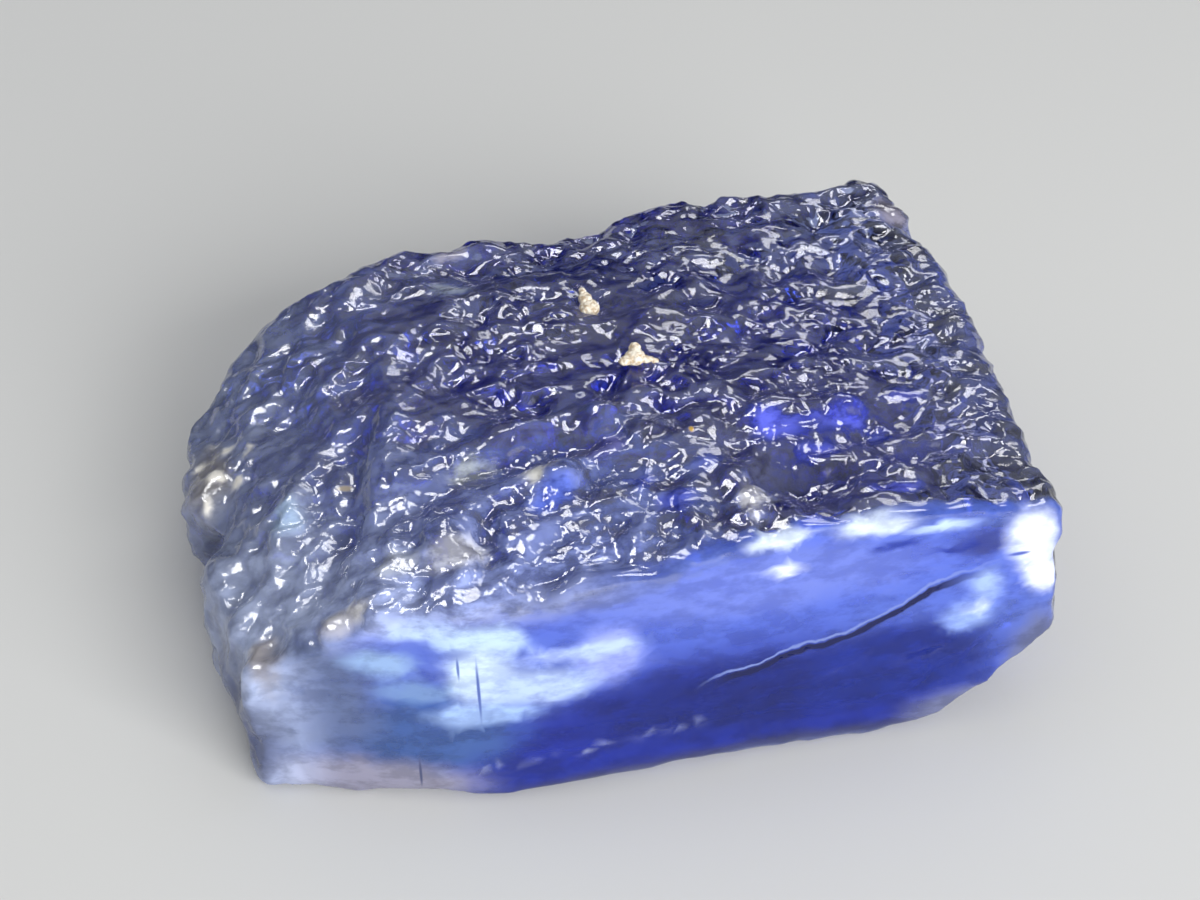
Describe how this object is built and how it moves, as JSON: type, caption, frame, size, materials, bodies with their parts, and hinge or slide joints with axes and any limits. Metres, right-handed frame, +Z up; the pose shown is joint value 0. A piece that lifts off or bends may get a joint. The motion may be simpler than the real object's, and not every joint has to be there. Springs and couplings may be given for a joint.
{
  "type": "halite crystal",
  "caption": "Clear blue chip of rock salt with one clean cleavage face in front, a dissolved, scooped top and sides, and a small flat spot to lie on.",
  "frame": {"origin": "under the middle of the chip's outer box, on the surface that it lies on", "axes": "+X along the clean front face to the right, +Y to the back, +Z up"},
  "size_m": [0.0304, 0.0248, 0.0091],
  "materials": {
    "halite": "clear blue, wet-looking",
    "pale_earth": "matt, crumbly"
  },
  "bodies": {
    "root": {"halite_crystal": "halite", "earth_crumb_back": "pale_earth", "earth_crumb_front": "pale_earth"}
  },
  "joints": []
}
